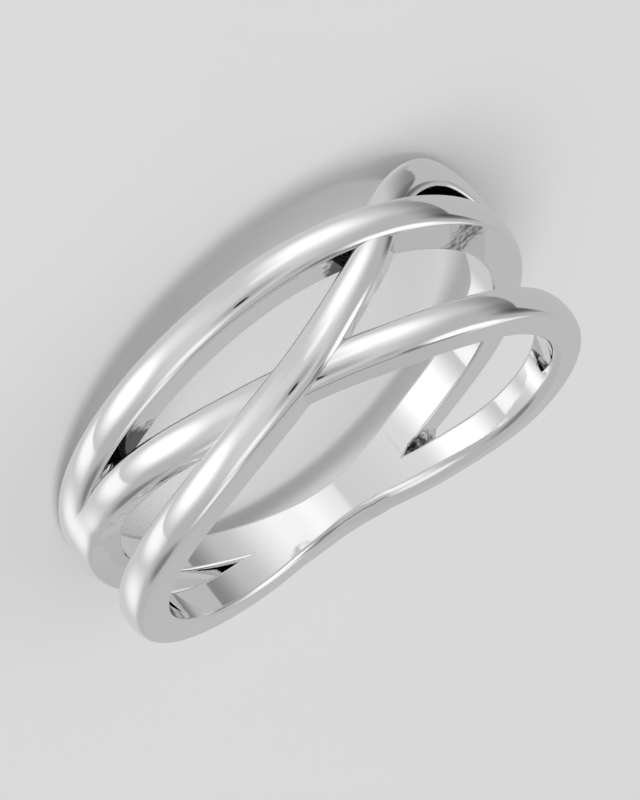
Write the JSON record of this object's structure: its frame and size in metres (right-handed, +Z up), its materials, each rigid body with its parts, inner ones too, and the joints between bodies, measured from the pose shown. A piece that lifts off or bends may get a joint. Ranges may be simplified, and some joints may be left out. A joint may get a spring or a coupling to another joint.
{
  "type": "crossover ring",
  "caption": "Finger ring of rounded metal strands that cross over one another at the front and join in a narrow shank at the back.",
  "frame": {"origin": "centre of the finger hole, level with the middle of the shank", "axes": "+Z up as the ring lies on its side on a floor; -Y towards the crossing at the front, +Y towards the shank; the finger hole leans 8.7 degrees from +Z, as the ring rests by itself"},
  "size_m": [0.0206, 0.0206, 0.008],
  "materials": {
    "polished_metal": "mirror-polished white gold"
  },
  "bodies": {
    "root": {"ring_band": "polished_metal"}
  },
  "joints": []
}
